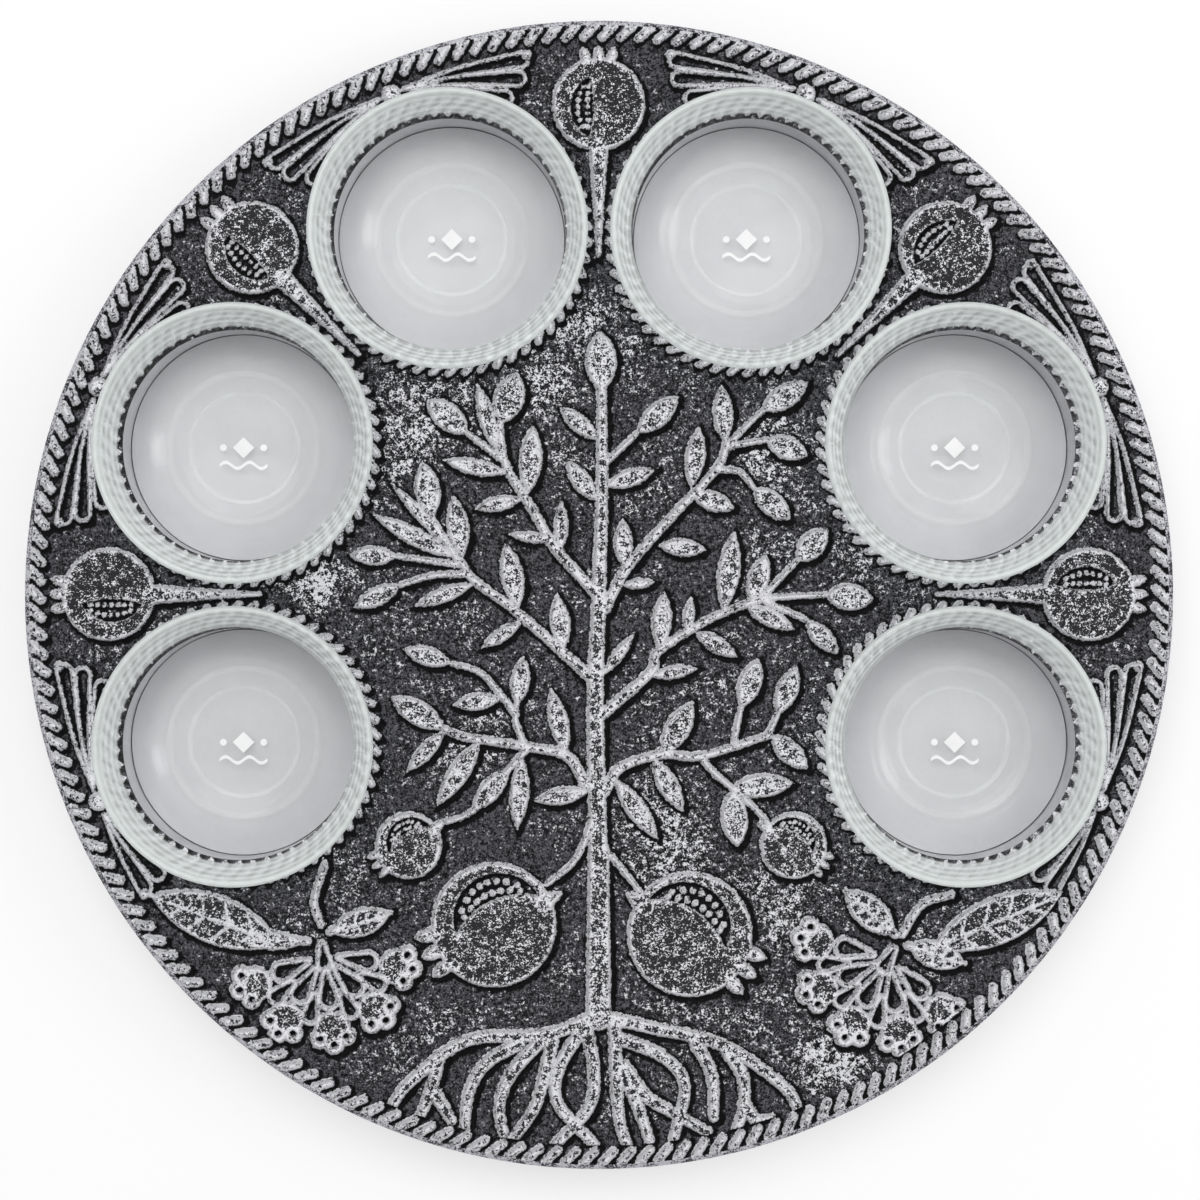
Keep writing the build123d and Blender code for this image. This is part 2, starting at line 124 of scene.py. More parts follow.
soft_box("key_light", place=(-0.25, 0.7, 1.45), width=1.2, watts=8.0)
soft_box("fill_light", place=(0.95, 0.15, 0.7), width=0.5, watts=2.2)
world = bpy.data.worlds.new("white_studio")
world.use_nodes = True
scene.world = world
sky_light = world.node_tree.nodes["Background"]
sky_light.inputs["Color"].default_value = (1, 1, 1, 1)
sky_light.inputs["Strength"].default_value = sky_strength

# %% [markdown]
# ## Shader maths as plain expressions
# A node tree can be clicked together or written out. Written, it reads best as arithmetic. `Value` wraps one
# socket, and its operators add Math nodes, so that `1 - mask * 0.5` builds the tree that it looks like.
# `Finish` is one material. Any node that isn't plain arithmetic comes from its `node` method.

# %% Wrap sockets and materials
class Value:
    """One shader value. Sums and products of values add the Math nodes that work them out."""

    def __init__(self, finish, socket):
        self.finish = finish
        self.socket = socket

    def math(self, operation, first, second):
        return self.finish.node("Math", {"operation": operation}, {0: first, 1: second})

    def __add__(self, other):
        return self.math("ADD", self, other)

    def __sub__(self, other):
        return self.math("SUBTRACT", self, other)

    def __rsub__(self, other):
        return self.math("SUBTRACT", other, self)

    def __mul__(self, other):
        return self.math("MULTIPLY", self, other)

    def __truediv__(self, other):
        return self.math("DIVIDE", self, other)

    def __pow__(self, other):
        return self.math("POWER", self, other)

    def greater(self, other):
        return self.math("MAXIMUM", self, other)

    def sine(self):
        return self.finish.node("Math", {"operation": "SINE"}, {0: self})

    __radd__ = __add__
    __rmul__ = __mul__


class Finish:
    """One node material."""

    def __init__(self, name):
        self.material = bpy.data.materials.new(name)
        self.material.use_nodes = True
        self.tree = self.material.node_tree
        self.tree.nodes.clear()

    def node(self, kind, settings=None, sockets=None, out=0):
        made = self.tree.nodes.new("ShaderNode" + kind)
        for key, setting in (settings or {}).items():
            setattr(made, key, setting)
        for key, value in (sockets or {}).items():
            if isinstance(value, Value):
                self.tree.links.new(value.socket, made.inputs[key])
            else:
                made.inputs[key].default_value = value
        return Value(self, made.outputs[out])

    def place(self):
        return self.node("TexCoord", out="Object")

    def attribute(self, name):
        return self.node("Attribute", {"attribute_name": name}, out="Fac")

    def noise(self, size_mm, detail=2.0, roughness=0.5, distortion=0.0):
        """Noise whose blotches are about size_mm across."""
        sockets = {"Vector": self.place(), "Scale": 1 / (size_mm * mm), "Detail": detail,
                   "Roughness": roughness, "Distortion": distortion}
        return self.node("TexNoise", {"noise_dimensions": "3D"}, sockets)

    def step(self, value, start, end):
        """A smooth step from 0 at start to 1 at end, where start may be the larger one."""
        if start > end:
            return 1 - self.step(value, end, start)
        settings = {"interpolation_type": "SMOOTHSTEP"}
        return self.node("MapRange", settings, {"Value": value, "From Min": start, "From Max": end})

    def blend(self, factor, first, second):
        """From the first colour to the second."""
        return self.node("Mix", {"data_type": "RGBA"}, {0: factor, 6: first, 7: second}, out=2)

    def bump(self, height, strength, depth_mm):
        """A normal that follows small heights."""
        sockets = {"Height": height, "Strength": strength, "Distance": depth_mm * mm}
        return self.node("Bump", None, sockets)

    def surface(self, shader):
        output = self.tree.nodes.new("ShaderNodeOutputMaterial")
        self.tree.links.new(shader.socket, output.inputs["Surface"])
        return self.material


def tone(red, green=None, blue=None):
    """A colour given as 0 to 255 screen values."""
    levels = (red, red if green is None else green, red if blue is None else blue)
    return tuple(((v / 255 + 0.055) / 1.055) ** 2.4 for v in levels) + (1.0,)


print("shader tools ready")

# %% [markdown]
# The floor is plain and white. A share of its white comes from itself, seen by the camera or in the glass,
# and the rest from the lamps, so that the plate still lays its soft shadow on it.

# %% Lay the floor
floor_half_width = 4.0
floor_own_share = 0.5
floor_own_strength = 1.05

white = Finish("white_floor")
camera_ray, glossy_ray, clear_ray = (
    white.node("LightPath", out=name)
    for name in ("Is Camera Ray", "Is Glossy Ray", "Is Transmission Ray"))
seen = camera_ray.greater(glossy_ray).greater(clear_ray)
lit = white.node("BsdfDiffuse", None, {"Color": tone(252)})
own = white.node("Emission", None, {"Color": tone(255), "Strength": floor_own_strength})
floor_shader = white.node("MixShader", None, {0: seen * floor_own_share, 1: lit, 2: own})
floor_mesh = bpy.data.meshes.new("studio_floor")
w = floor_half_width
floor_mesh.from_pydata([(-w, -w, 0), (w, -w, 0), (w, w, 0), (-w, w, 0)], [], [(0, 1, 2, 3)])
floor_mesh.materials.append(white.surface(floor_shader))
placed("studio_floor", floor_mesh)
print("floor", floor_mesh.materials[0].name)

# %% [markdown]
# ## The embossed picture as a plan of distances
# Sheet metal is embossed over a die. We could model each leaf as a mesh, but hundreds of crossing shapes
# would have to be cut into each other. A plan is simpler: on a fine square grid we keep, for each point,
# how far it is from the edge of the nearest raised motif. Negative means inside. Where motifs cross, the
# higher one counts, and both the height of the metal and its patina follow from the plan.

# %% The plan of the relief
grid_step = 0.5
far_away = 99.0
rim_width = 1.0


def smooth(t):
    """A smooth rise from 0 to 1 as t goes from 0 to 1."""
    t = np.clip(t, 0, 1)
    return t * t * (3 - 2 * t)


class Plan:
    """Distances, heights and wear of the embossing on a square grid, in millimetres."""

    def __init__(self, half_width, step):
        count = int(half_width / step) + 1
        self.ticks = np.arange(-count, count + 1) * step
        self.x, self.y = np.meshgrid(self.ticks, self.ticks)
        self.edge = np.full(self.x.shape, far_away)
        self.rise = np.zeros(self.x.shape)
        self.worn = np.zeros(self.x.shape)

    def around(self, points, margin):
        """The window of the grid that lies around some points."""
        low = np.min(points, axis=0) - margin
        high = np.max(points, axis=0) + margin
        columns = slice(*np.searchsorted(self.ticks, (low[0], high[0])))
        rows = slice(*np.searchsorted(self.ticks, (low[1], high[1])))
        return rows, columns

    def stamp(self, window, distance, height, slope, dish=0.0, bare=1.0):
        """Raises a motif with rounded sides. Inside its rim it is dished, and rubbed less as bare grows."""
        inside = np.clip(-distance / slope, 0, 1)
        hollow = smooth((-distance - rim_width) / rim_width)
        rise = height * np.sin(inside * pi / 2) - dish * hollow
        higher = rise > self.rise[window]
        self.worn[window] = np.where(higher, hollow * bare * (dish > 0), self.worn[window])
        self.rise[window] = np.maximum(self.rise[window], rise)
        nearer = np.minimum(self.edge[window], distance)
        self.edge[window] = np.where(higher, distance, nearer)

    def cut(self, window, distance):
        """Takes a window out of what is raised so far."""
        inside = distance < 0
        self.rise[window] = np.where(inside, 0, self.rise[window])
        self.worn[window] = np.where(inside, 0, self.worn[window])
        self.edge[window] = np.maximum(self.edge[window], -distance)


plan = Plan(plate_radius, grid_step)
print("plan", plan.x.shape, "points")

# %% [markdown]
# Three shapes draw nearly everything: a stem is a smooth path with a width at either end, a leaf is the
# overlap of two large circles, and a disc is a disc. Each is stamped into the small window of the plan
# that it touches.

# %% Stems, leaves and discs
relief_height = 1.4
side_width = 1.1
stem_dish, stem_bare = 0.1, 0.6
leaf_dish, leaf_bare = 0.35, 0.3
margin = 4.0
path_steps = 6


def smooth_path(points):
    """A smooth path through listed points."""
    p = np.array(points, float)
    p = np.vstack([2 * p[0] - p[1], p, 2 * p[-1] - p[-2]])
    t = np.linspace(0, 1, path_steps, endpoint=False)[:, None]
    spans = []
    for a, b, c, d in zip(p, p[1:], p[2:], p[3:]):
        curve = (2 * b + (c - a) * t + (2 * a - 5 * b + 4 * c - d) * t**2
                 + (3 * b - a - 3 * c + d) * t**3) / 2
        spans.append(curve)
    return np.vstack(spans + [p[-2:-1]])


def stem_distance(window, path, start_width, end_width):
    """How far each point of a window is from the side of a path that swells or tapers."""
    x, y = plan.x[window], plan.y[window]
    nearest = np.full(x.shape, far_away)
    widths = np.linspace(start_width, end_width, len(path)) / 2
    for a, b, wide_a, wide_b in zip(path, path[1:], widths, widths[1:]):
        along = b - a
        t = np.clip(((x - a[0]) * along[0] + (y - a[1]) * along[1]) / (along @ along), 0, 1)
        gap = np.hypot(x - a[0] - t * along[0], y - a[1] - t * along[1])
        nearest = np.minimum(nearest, gap - wide_a - t * (wide_b - wide_a))
    return nearest


def stem(points, start_width, end_width):
    path = smooth_path(points)
    window = plan.around(path, max(start_width, end_width) / 2 + margin)
    distance = stem_distance(window, path, start_width, end_width)
    plan.stamp(window, distance, relief_height, side_width, stem_dish, stem_bare)


def leaf_distance(window, stalk_end, tip, width):
    """Distance from the outline where two circles overlap, which meet at the stalk end and the tip."""
    a, b = np.array(stalk_end, float), np.array(tip, float)
    along = (b - a) / 2
    half_length, half_width = np.hypot(*along), width / 2
    radius = (half_length**2 + half_width**2) / (2 * half_width)
    across = np.array([-along[1], along[0]]) / half_length * (radius - half_width)
    gaps = [np.hypot(plan.x[window] - c[0], plan.y[window] - c[1])
            for c in (a + along + across, a + along - across)]
    return np.maximum(*gaps) - radius


def leaf(stalk_end, tip, width, dish=leaf_dish, bare=leaf_bare):
    window = plan.around([stalk_end, tip], width / 2 + margin)
    distance = leaf_distance(window, stalk_end, tip, width)
    plan.stamp(window, distance, relief_height, side_width, dish, bare)


def disc_distance(window, centre, radius):
    return np.hypot(plan.x[window] - centre[0], plan.y[window] - centre[1]) - radius


def disc(centre, radius, height=relief_height, dish=0.0, bare=1.0):
    window = plan.around([centre], radius + margin)
    plan.stamp(window, disc_distance(window, centre, radius), height, side_width, dish, bare)


print("drawing tools ready")

# %% Places on the plate
picture_drop = 1.6


def on_plate(point):
    """A point of the picture, which sits a little below the middle of the plate."""
    return (point[0], point[1] - picture_drop)


def polar_point(radius, angle, centre=(0, 0)):
    return (centre[0] + radius * cos(radians(angle)), centre[1] + radius * sin(radians(angle)))


print("middle of the picture", on_plate((0, 0)))

# %% [markdown]
# ## The tree
# A tree of life is an old ornament for such plates: one trunk, paired branches with pointed leaves, and
# bare roots. Its points are listed one by one, as they are in the solid model, and nothing more than a start
# and an end width is needed to make a stem swell and taper.

# %% Trunk, branches and roots
trunk = [(1, 65), (1, 33), (0, -2), (-1, -32), (0, -82)]
foot_of_trunk = [(0, -78), (0, -104), (0, -131)]
main_branches = [
    [(0, 1), (-13.5, 16), (-20, 27), (-29, 42), (-31, 55)],
    [(2, -3), (9, 10), (23, 26), (37, 41), (40, 49)],
    [(-3, -24), (-14, -14), (-28, -2), (-39, 6), (-43, 12)],
    [(0, -37), (16, -23), (19, -16), (36, -5.5), (52, 0.5)],
    [(-4, -58), (-10, -49), (-23, -46), (-42, -43), (-48, -40.5)],
    [(2, -60), (7, -52.5), (20, -48.5), (32, -49), (53.5, -42.5)],
]
twigs = [
    [(-23, -46), (-26, -38), (-25.5, -32)],
    [(-26, -36), (-30.5, -30), (-37, -23), (-46, -20)],
    [(-22, -46.5), (-28, -53), (-39, -66), (-51, -70.5)],
    [(32, -49.5), (37, -55), (48, -64.5), (54, -71)],
    [(2.5, 43), (12, 52)],
    [(-30.5, 44), (-41, 52)],
    [(40.5, 48.5), (51, 59)],
    [(41, 48), (52.5, 50)],
    [(36.5, 40.5), (44, 40), (48.5, 35)],
    [(-44, 12), (-52, 25.5)],
    [(-44.5, 11), (-63, 13.5)],
    [(-41, 8), (-52, 7.5), (-62, 4.5)],
    [(51, 0.5), (62, 12)],
    [(51, 0.5), (71, 1.5)],
    [(51, 0), (65, -6.5)],
    [(42.5, -43.5), (44.5, -34)],
    [(53, -42.5), (56, -36)],
]
fruit_stalks = [
    [(-1, -66), (-7, -81), (-16, -89)],
    [(1, -77), (7, -84), (13, -91.5)],
]
roots = [
    [(0, -130), (-16, -136), (-41, -138), (-59, -151), (-65, -159)],
    [(-50, -143), (-52, -152), (-56.5, -163.5)],
    [(-51, -155), (-46, -163)],
    [(-25, -139), (-35, -145), (-40.5, -154), (-42, -166)],
    [(-18, -138), (-27, -148), (-31, -158), (-29.5, -169)],
    [(-14.5, -138), (-17, -149), (-20, -159), (-26, -168)],
    [(-5, -134), (-12.5, -147), (-12.5, -158), (-1, -171)],
    [(-4, -134), (-1.5, -147), (-3, -159), (-14, -171)],
    [(5, -132), (5.5, -149), (6.5, -163), (9, -171)],
    [(7, -147), (12, -158), (16, -169.5)],
    [(8, -146), (15, -155.5), (24, -161), (34, -166.5)],
    [(7, -137.5), (20, -143), (27, -152), (23.5, -169)],
    [(30, -138), (35.5, -149), (36, -162)],
    [(40, -141), (45, -149), (45.5, -158), (43, -166.5)],
    [(45.5, -158), (49.5, -163), (54, -162.5)],
    [(0, -130), (16.5, -134), (39, -139.5), (58, -152.5), (63, -161)],
]


def picture_stems(paths, start_width, end_width):
    for points in paths:
        stem([on_plate(point) for point in points], start_width, end_width)


picture_stems([trunk], 3.2, 6.0)
picture_stems([foot_of_trunk], 6.6, 8.0)
picture_stems(main_branches, 3.6, 2.4)
picture_stems(twigs + fruit_stalks, 2.4, 1.8)
picture_stems(roots, 4.4, 3.4)
print("stems", len(main_branches) + len(twigs) + len(roots) + 2)

# %% Leaves: stalk end, tip, greatest width
leaves = [
    ((1, 65), (0.5, 84), 10), ((0, 50), (-12, 60), 5.6), ((-1, 31), (-10, 43.5), 6),
    ((12, 52), (25, 63.5), 7.5), ((2, 35.5), (17.5, 40.5), 5.8), ((1, -24), (11, -11), 3.8),
    ((-3, -60), (-20, -63), 5.6),
    ((-30.5, 55), (-25.5, 71), 9.7), ((-32, 46.5), (-38, 67.5), 5.3), ((-41, 52), (-53.5, 62.5), 8.5),
    ((-28.5, 39.5), (-48.5, 43.5), 5.3), ((-22, 33), (-20.5, 54.5), 7.3), ((-24, 31.5), (-38.5, 28.5), 5),
    ((-14.5, 18.5), (-28, 20.5), 3.6), ((-12, 14.5), (-11.5, 31), 4.5),
    ((8, 10), (7.5, 25), 6), ((19, 17), (33.5, 15.5), 5.8), ((29, 33), (42.5, 28.5), 6.4),
    ((29, 35), (31.5, 54), 6.4), ((48.5, 35), (60, 25), 7.5), ((39.5, 49), (38.5, 67), 6.4),
    ((51, 59), (65.5, 68), 7.5), ((52.5, 50), (65.5, 45), 7.5), ((7.5, 4.5), (17.5, 5.5), 3.6),
    ((-42.5, 13), (-45.5, 32.5), 7), ((-52, 25.5), (-55, 43), 8.1), ((-45, 15), (-65, 36.5), 3.8),
    ((-45, 13), (-70.5, 26.5), 5.7), ((-63, 13.5), (-78, 14), 6.2), ((-62, 4.5), (-76.5, -2.5), 6.2),
    ((-39, 5), (-57.5, -2), 5), ((-25, -3), (-29, 17.5), 7.3), ((-24, -7), (-36.5, -15), 4.5),
    ((-11, -16), (-13, 1.5), 6.4),
    ((19, -16), (20.5, 2.5), 6.3), ((27.5, -10.5), (29, 0.5), 3.8), ((16, -24), (31, -21.5), 4.4),
    ((30, -10), (43.5, -18), 5.3), ((46, -2), (61.5, -9.5), 5.6), ((65, -6.5), (75, -17), 6.2),
    ((71, 1.5), (86, 0), 8.5), ((62, 12), (71.5, 22), 8.1), ((47.5, -1), (52.5, 14), 6.9),
    ((39, -4), (42.5, 21.5), 7.2),
    ((-25.5, -33), (-23.5, -18), 6.2), ((-46, -20), (-61, -15.5), 6.2), ((-30.5, -31), (-45.5, -33), 5.6),
    ((-48, -40.5), (-65, -30.5), 7.8), ((-48, -41), (-60, -54), 5), ((-37, -44), (-50.5, -64.5), 6.7),
    ((-28, -53), (-39.5, -66), 6.7), ((-24, -49), (-25.5, -72), 6.2), ((-10, -48.5), (-15, -28), 6.2),
    ((20, -48.5), (29.5, -32), 8.1), ((17, -49.5), (26.5, -66.5), 6.4), ((5, -56), (18.5, -75), 6.4),
    ((44.5, -34), (50, -18.5), 7.5), ((56, -36), (62, -21), 7), ((54, -42.5), (65.5, -53), 7),
    ((41, -59), (61, -57.5), 7.5), ((41.5, -59.5), (43.5, -77.5), 8.5),
]
for stalk_end, tip, width in leaves:
    leaf(on_plate(stalk_end), on_plate(tip), width)
print("leaves", len(leaves))

# %% [markdown]
# ## Pomegranates
# Each fruit is a round body with a crown of three points and a window that shows its seeds: the body is a
# disc, the window lies between two circles, and two rows of small discs are the seeds. A fruit's own points
# are given in shares of its radius, with the crown along the first axis, so one drawing serves every size.

# %% One pomegranate
fruit_dish = 0.35
crown_points = [(1.24, -0.34), (1.28, 0), (1.24, 0.34)]
crown_base, crown_closeness, crown_point_width = 0.8, 0.7, 0.23
stalk_places, stalk_start_width = (-0.86, -1.0, -1.16), 0.36
stalk_end_width_mm = 1.8
seed_rows, seed_row_half, seed_radius = (0.26, 0.7), 0.66, 0.05
seed_height_mm = 0.9
tree_fruit_window = [(0.62, 0.1), (-0.12, 0.78), (-0.86, 0.1), (-0.12, 0.36)]
edge_fruit_window = [(0.58, 0.2), (-0.05, 0.6), (-0.72, 0.2), (-0.05, 0.1)]


def circle_through(a, b, c):
    """Centre and radius of the circle through three points."""
    a, b, c = (np.array(point, float) for point in (a, b, c))
    sides = 2 * np.array([b - a, c - a])
    centre = np.linalg.solve(sides, [b @ b - a @ a, c @ c - a @ a])
    return centre, np.hypot(*(a - centre))


def pomegranate(centre, radius, crown_angle, window_side, opening, seeds, bare=1.0):
    """A fruit. Its opening is an end, the outer side, the other end and the inner side of the window."""
    crown_way = np.array(polar_point(1, crown_angle))
    side_way = np.array([-crown_way[1], crown_way[0]]) * window_side

    def on_fruit(along, aside):
        return np.array(centre) + radius * (along * crown_way + aside * side_way)

    disc(centre, radius, dish=fruit_dish, bare=bare)
    for reach, aside in crown_points:
        base = on_fruit(crown_base, aside * crown_closeness)
        leaf(base, on_fruit(reach, aside), radius * crown_point_width, dish=0)
    stem([on_fruit(along, 0) for along in stalk_places], radius * stalk_start_width, stalk_end_width_mm)
    start, outer, end, inner = (on_fruit(*point) for point in opening)
    window = plan.around([centre], radius)
    rind = disc_distance(window, *circle_through(start, outer, end))
    flesh = disc_distance(window, *circle_through(start, inner, end))
    bulges_out = opening[3][1] > opening[0][1]
    plan.cut(window, np.maximum(rind, -flesh if bulges_out else flesh))
    (x_start, y_end), (x_middle, y_outer), (x_end, _), (_, y_inner) = opening
    for share in seed_rows:
        for t in np.linspace(-seed_row_half, seed_row_half, seeds):
            along = x_middle + t * (x_start - x_end) / 2
            aside = y_end + (y_inner + (y_outer - y_inner) * share - y_end) * (1 - t * t)
            disc(on_fruit(along, aside), radius * seed_radius, seed_height_mm)


print("seed rows in a fruit", len(seed_rows))

# %% Fruit on the tree and along the edge
tree_fruits = [
    ((-32.8, -101.8), 19.6, 205, -1), ((28.5, -104.8), 19.6, -33, 1),
    ((-59.5, -77), 10.5, 212, -1), ((61, -77), 10.5, -32, 1),
]
edge_fruit_angles = [90, 135, 45, 180, 0]
edge_fruit_circle_radius = 153.4
edge_fruit_radius = 14.6
edge_fruit_bare = 1.15
edge_stem_radii, edge_stem_start, edge_stem_end = (140, 125, 106), 6.4, 1.4
tree_fruit_seeds, edge_fruit_seeds = 8, 7

for centre, radius, crown_angle, window_side in tree_fruits:
    centre = on_plate(centre)
    pomegranate(centre, radius, crown_angle, window_side, tree_fruit_window, tree_fruit_seeds)
for angle in edge_fruit_angles:
    stem([polar_point(radius, angle) for radius in edge_stem_radii], edge_stem_start, edge_stem_end)
    centre = polar_point(edge_fruit_circle_radius, angle)
    pomegranate(centre, edge_fruit_radius, angle, 1, edge_fruit_window, edge_fruit_seeds, edge_fruit_bare)
print("pomegranates", len(tree_fruits) + len(edge_fruit_angles))

# %% [markdown]
# ## Lilies and flower sprays
# Between the wells and the edge, a bead sits outside each well, and three long hollow petals fan out from it
# on either side. Below the last wells there is a spray of flowers on each side, with round outer lobes,
# looped inner petals and veined leaves.

# %% Lilies along the edge
bead_circle_radius, bead_radius = 169.5, 3.0
petal_tips = [(169.0, 14.2), (163.4, 13.6), (158.0, 11.8)]
petal_line, petal_start_width, petal_end_width = 1.2, 1.4, 5.8
petal_start_turn = 1.4
petal_middle_pull = 1.4
knob_out, knob_turn_on, knob_radius = 1.4, 0.7, 1.6
short_petal = 0.72


def loop(points, start_width, end_width, line):
    """A long drop drawn as a raised line round a hollow."""
    path = smooth_path(points)
    window = plan.around(path, end_width / 2 + margin)
    outline = stem_distance(window, path, start_width, end_width)
    plan.stamp(window, np.abs(outline + line / 2) - line / 2, relief_height, line / 2)


def lily(angle, way, length):
    """The petals on one side of a bead, with a knob at the tip of the outermost."""
    for tip_radius, span in petal_tips:
        middle_radius = (bead_circle_radius * petal_middle_pull + tip_radius) / (petal_middle_pull + 1)
        start = polar_point(bead_circle_radius, angle + way * petal_start_turn)
        middle = polar_point(middle_radius, angle + way * span * length * 0.5)
        tip = polar_point(tip_radius, angle + way * span * length)
        loop([start, middle, tip], petal_start_width, petal_end_width, petal_line)
    tip_radius, span = petal_tips[0]
    disc(polar_point(tip_radius + knob_out, angle + way * (span * length + knob_turn_on)), knob_radius)


well_angles = {name: np.degrees(np.arctan2(y, x)) for name, (x, y) in well_centres.items()}
for name, angle in well_angles.items():
    disc(polar_point(bead_circle_radius, angle), bead_radius)
    for way in (-1, 1):
        lowest = (name, way) in (("lower_right", -1), ("lower_left", 1))
        lily(angle, way, short_petal if lowest else 1.0)
print("lilies", len(well_angles))

# %% Veined leaves
vein_dish, vein_bare = 0.7, 1.0
vein_shares, vein_lean, vein_reach = (0.22, 0.4, 0.58, 0.74), 0.09, 0.42
midrib_width, vein_width, vein_tip_width = 2.8, 2.2, 1.6


def veined_leaf(stalk_end, tip, width):
    """A leaf with a midrib and side veins."""
    leaf(stalk_end, tip, width, vein_dish, vein_bare)
    base, along = np.array(stalk_end), np.array(tip) - np.array(stalk_end)
    aside = np.array([-along[1], along[0]]) / np.hypot(*along) * width * vein_reach
    stem([base, base + along / 2, base + along], midrib_width, vein_tip_width)
    for share in vein_shares:
        root = base + along * share
        for way in (-1, 1):
            end = root + along * vein_lean + aside * way * sin(pi * (share + vein_lean))
            stem([root, (root + end) / 2, end], vein_width, vein_tip_width)


print("veins on a leaf", 2 * len(vein_shares))

# %% Flower sprays: centre, way of the bloom, stalk, then leaves as stalk end, tip, width
flowers = [
    ((-86.2, -111.2), -83, [(-86.9, -101.8), (-89, -94.5), (-85.8, -83.1)],
     [((-99, -108), (-140.5, -92.4), 15.5), ((-84, -104), (-65, -98.1), 9),
      ((-91, -107), (-112.9, -106.4), 6)]),
    ((90.7, -112.2), -119, [(95, -105), (101.1, -95.6), (110.4, -92.4)],
     [((104, -109), (145.2, -92), 15), ((92.8, -104.9), (77.2, -91), 10),
      ((96.9, -108.4), (114.6, -113.9), 9)]),
]
bloom_turns, gap_turns = (-74, -37, 0, 37, 74), (-55, -19, 19, 55)
lobe_circle_radius, lobe_radius, lobe_dish = 23.5, 5.8, 0.4
bud_turns, bud_circle_radius, bud_radius, bud_hole_radius = (-58, 0, 58), 4.8, 3.2, 1.0
outer_loop = {"radii": (13, 16, 19.5), "start_width": 3.0, "end_width": 6.4, "line": 1.5}
inner_loop = {"radii": (5, 9.5, 14), "start_width": 2.8, "end_width": 7.6, "line": 1.6}
heart_loop = {"radii": (-3, 0, 3), "start_width": 3.4, "end_width": 6.0, "line": 1.6}
stalk_width = 2.6


def pierce(centre, radius):
    """A round hole in what is raised so far."""
    window = plan.around([centre], radius + 1)
    plan.cut(window, disc_distance(window, centre, radius))


def flower_loop(centre, angle, radii, start_width, end_width, line):
    loop([polar_point(radius, angle, centre) for radius in radii], start_width, end_width, line)


def flower(centre, bloom_angle, stalk, blades):
    centre = on_plate(centre)
    for turn in bloom_turns:
        lobe = polar_point(lobe_circle_radius, bloom_angle + turn, centre)
        disc(lobe, lobe_radius, dish=lobe_dish)
        buds = [polar_point(bud_circle_radius, bloom_angle + turn + side, lobe) for side in bud_turns]
        for bud in buds:
            disc(bud, bud_radius)
        for bud in buds:
            pierce(bud, bud_hole_radius)
    for turn in gap_turns:
        flower_loop(centre, bloom_angle + turn, **outer_loop)
    for turn in bloom_turns:
        flower_loop(centre, bloom_angle + turn, **inner_loop)
    flower_loop(centre, bloom_angle, **heart_loop)
    picture_stems([stalk], stalk_width, stalk_width)
    for stalk_end, tip, width in blades:
        veined_leaf(on_plate(stalk_end), on_plate(tip), width)


for spray in flowers:
    flower(*spray)
print("flower sprays", len(flowers))

# %% [markdown]
# ## Ropes
# The edge and each well have a rope border. Every strand is a slanted rounded bar, and all are alike, so
# instead of stamping hundreds one by one, each point finds its nearest strand by counting round the circle.

# %% Rope borders
edge_rope_radius, edge_rope_half, edge_strands = 176.2, 3.2, 190
well_rope_radius, well_rope_half, well_strands = 41.0, 3.8, 54
strand_slant = radians(-45)
strand_share = 0.36
rope_clearing, rope_clearing_reach = 0.6, 1.0


def rope(centre, radius, half_width, strands):
    """A ring of slanted strands, in a clear ring of its own."""
    window = plan.around([centre], radius + 2 * half_width)
    x, y = plan.x[window] - centre[0], plan.y[window] - centre[1]
    outwards = np.hypot(x, y) - radius
    round_the_rope = np.arctan2(y, x) * radius
    pitch = 2 * pi * radius / strands * cos(strand_slant)
    across = round_the_rope * cos(strand_slant) - outwards * sin(strand_slant)
    across = (across + pitch / 2) % pitch - pitch / 2
    along = (outwards + across * sin(strand_slant)) / cos(strand_slant)
    half_strand = pitch * strand_share
    half_length = (half_width - half_strand) / cos(strand_slant)
    distance = np.hypot(np.maximum(np.abs(along) - half_length, 0), across) - half_strand
    beyond = np.abs(outwards) - half_width
    plan.cut(window, np.where(beyond < rope_clearing_reach, beyond - rope_clearing, far_away))
    plan.stamp(window, distance, relief_height, half_strand)


rope((0, 0), edge_rope_radius, edge_rope_half, edge_strands)
for centre in well_centres.values():
    rope(centre, well_rope_radius, well_rope_half, well_strands)
print("ropes", 1 + len(well_centres))

# %% [markdown]
# ## Where the pad touched the ground, and the painted shade beside each motif
# The silver was rubbed on by hand, so some stretches of the ground caught more of it than others, and the
# border less. A few soft spots say where. Beside every motif, on the side away from the light at the upper
# left, a painted shade narrows the silver and widens the black line: there the distance grows away from the
# light.

# %% Rubbed spots and painted shade
pad_touches = [
    ((-56, 51), 17), ((-8, 76), 18), ((56, 44), 17), ((-88, 4), 12), ((25, -77), 13), ((58, -99), 16),
    ((75, -148), 15), ((-44, -49), 12),
]
border_start, border_width, border_loss = 166.0, 8.0, 0.6
away_from_light = radians(-50)
painted_shade_reach = 6

from_middle = np.hypot(plan.x, plan.y)
rubbed = -border_loss * smooth((from_middle - border_start) / border_width)
for (x, y), reach in pad_touches:
    rubbed += np.exp(-((plan.x - x) ** 2 + (plan.y - y) ** 2) / reach**2)
# Painted shade: the side of each motif away from the light at the upper left is marked, to be painted darker.
rise_y, rise_x = np.gradient(np.clip(plan.edge, -painted_shade_reach, painted_shade_reach), grid_step)
painted_shade_side = np.clip(rise_x * cos(away_from_light) + rise_y * sin(away_from_light), -1, 1)
print("rubbed spots", len(pad_touches))

# %% [markdown]
# ## From plan to metal
# Now the heights: raised motifs as stamped, a narrow groove where the punch went round them, and a
# ground that is never quite flat. All of it fades out at the plate's edge and at the wells, where the
# sheet turns down.

